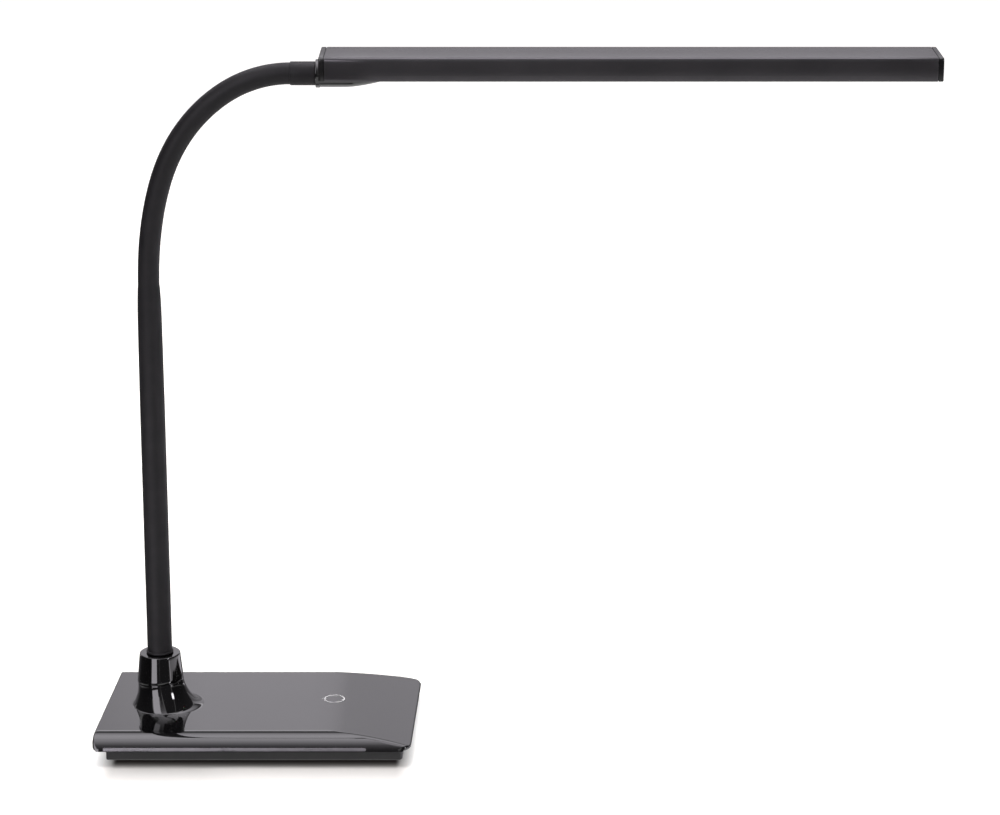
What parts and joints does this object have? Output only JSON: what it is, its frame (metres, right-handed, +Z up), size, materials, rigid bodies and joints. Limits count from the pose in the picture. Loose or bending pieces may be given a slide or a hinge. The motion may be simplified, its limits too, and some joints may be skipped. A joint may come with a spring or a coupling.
{
  "type": "gooseneck desk lamp",
  "caption": "Desk lamp with a flat weighted base, touch switch, rigid stand turning into a gooseneck, and a long flat LED head.",
  "frame": {"origin": "middle of the base's footprint on the desk plane, under the middle of the base cover at its mid depth", "axes": "+Z up; +X along the base towards the head's free end; +Y to the back, where the power socket is"},
  "size_m": [0.5222, 0.1226, 0.4383],
  "materials": {
    "cover_gloss": "black high gloss, moulded",
    "trim_gloss": "black high gloss",
    "sleeve_black": "matte black silicone sleeve",
    "trim_silver": "satin silver strip",
    "tray_plastic": "fine moulded satin",
    "cap_dark": "satin dark grey",
    "head_aluminium": "dark anodised, brushed along its length",
    "diffuser_white": "frosted",
    "mark_white": "light printed line",
    "steel": "plain",
    "hose_steel": "wound steel",
    "ballast_steel": "black primer",
    "screw_black": "black oxide",
    "foot_rubber": "matte",
    "lead_black": "satin cable jacket",
    "board_green": "solder mask",
    "board_white": "white coated circuit board",
    "part_black": "moulded component",
    "spring_brass": "plated wire",
    "led_yellow": "phosphor dome"
  },
  "bodies": {
    "stand": {"base_cover": "cover_gloss", "stand_flare": "cover_gloss", "front_trim": "trim_silver", "base_tray": "tray_plastic", "ballast_plate": "ballast_steel", "control_board": "board_green", "board_parts": "part_black", "board_screws": "steel", "touch_spring": "spring_brass", "touch_ring": "mark_white", "power_jack": "part_black", "jack_lead": "lead_black", "rubber_feet": "foot_rubber", "tray_screws": "steel", "arm_collar": "trim_gloss", "stand_flange": "steel", "flange_screws": "steel", "stand_tube": "steel", "stand_sleeve": "sleeve_black", "hose_0": "hose_steel", "lead_0": "lead_black"},
    "link_1": {"hose_1": "hose_steel", "lead_1": "lead_black", "sleeve_1": "sleeve_black"},
    "link_2": {"hose_2": "hose_steel", "lead_2": "lead_black", "sleeve_2": "sleeve_black"},
    "link_3": {"hose_3": "hose_steel", "lead_3": "lead_black", "sleeve_3": "sleeve_black"},
    "link_4": {"hose_4": "hose_steel", "lead_4": "lead_black", "sleeve_4": "sleeve_black"},
    "link_5": {"hose_5": "hose_steel", "lead_5": "lead_black", "sleeve_5": "sleeve_black"},
    "link_6": {"hose_6": "hose_steel", "lead_6": "lead_black", "sleeve_6": "sleeve_black"},
    "link_7": {"hose_7": "hose_steel", "lead_7": "lead_black", "sleeve_7": "sleeve_black"},
    "head": {"hose_8": "hose_steel", "lead_8": "lead_black", "sleeve_8": "sleeve_black", "neck_ferrule": "trim_gloss", "neck_holder": "trim_gloss", "holder_screws": "steel", "head_housing": "head_aluminium", "end_cap_left": "cap_dark", "end_cap_right": "cap_dark", "cap_screws": "screw_black", "led_board": "board_white", "led_chips": "led_yellow", "diffuser": "diffuser_white"}
  },
  "joints": [
    {"name": "neck_curl_1", "type": "hinge", "parent": "stand", "child": "link_1", "pos_m": [-0.06406, 0, 0.30415], "axis": [0, 1, 0], "range_deg": [-30, 8], "deforming": ["sleeve_1"]},
    {"name": "neck_sway_2", "type": "hinge", "parent": "link_1", "child": "link_2", "pos_m": [-0.06209, 0, 0.32635], "axis": [0.9909, 0, -0.1349], "range_deg": [-25, 25], "deforming": ["sleeve_2"]},
    {"name": "neck_curl_3", "type": "hinge", "parent": "link_2", "child": "link_3", "pos_m": [-0.05796, 0, 0.34825], "axis": [0, 1, 0], "range_deg": [-32, 8], "deforming": ["sleeve_3"]},
    {"name": "neck_curl_4", "type": "hinge", "parent": "link_3", "child": "link_4", "pos_m": [-0.05105, 0, 0.36943], "axis": [0, 1, 0], "range_deg": [-36.5, 8], "deforming": ["sleeve_4"]},
    {"name": "neck_sway_5", "type": "hinge", "parent": "link_4", "child": "link_5", "pos_m": [-0.0402, 0, 0.38886], "axis": [0.8141, 0, -0.5807], "range_deg": [-25, 25], "deforming": ["sleeve_5"]},
    {"name": "neck_curl_6", "type": "hinge", "parent": "link_5", "child": "link_6", "pos_m": [-0.02529, 0, 0.40538], "axis": [0, 1, 0], "range_deg": [-38.5, 8], "deforming": ["sleeve_6"]},
    {"name": "neck_curl_7", "type": "hinge", "parent": "link_6", "child": "link_7", "pos_m": [-0.00687, 0, 0.41784], "axis": [0, 1, 0], "range_deg": [-42, 8], "deforming": ["sleeve_7"]},
    {"name": "neck_sway_8", "type": "hinge", "parent": "link_7", "child": "head", "pos_m": [0.01432, 0, 0.42449], "axis": [0.1521, 0, -0.9884], "range_deg": [-25, 25], "deforming": ["sleeve_8"]}
  ]
}
